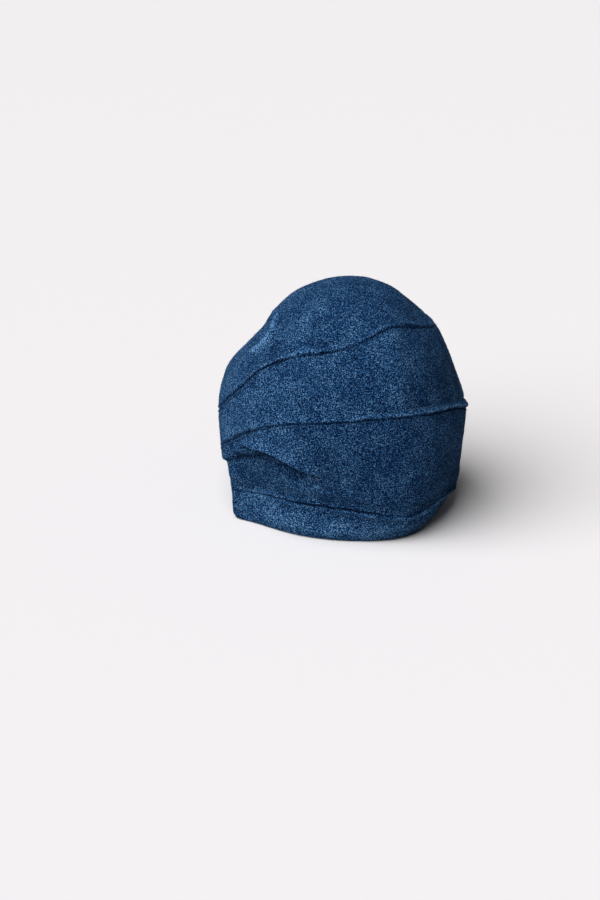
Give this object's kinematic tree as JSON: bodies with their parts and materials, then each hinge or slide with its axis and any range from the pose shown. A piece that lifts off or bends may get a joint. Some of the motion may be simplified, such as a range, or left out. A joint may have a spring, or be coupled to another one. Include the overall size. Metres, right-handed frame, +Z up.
{
  "type": "boiled wool cap",
  "caption": "Round cap of boiled wool, sewn from a crown, two curved panels and a folded hem band, resting on its hem with the head opening below.",
  "frame": {"origin": "middle of the cap's box, at the height of the surface that the hem rests on", "axes": "+Z up through the crown, +X to the right and +Y away, as seen from the side that the picture shows"},
  "size_m": [0.216, 0.2, 0.203],
  "materials": {
    "wool": "matt boiled wool, navy with lighter blue flecks"
  },
  "bodies": {
    "root": {"crown": "wool", "upper_panel": "wool", "lower_panel": "wool", "hem_band": "wool"}
  },
  "joints": []
}
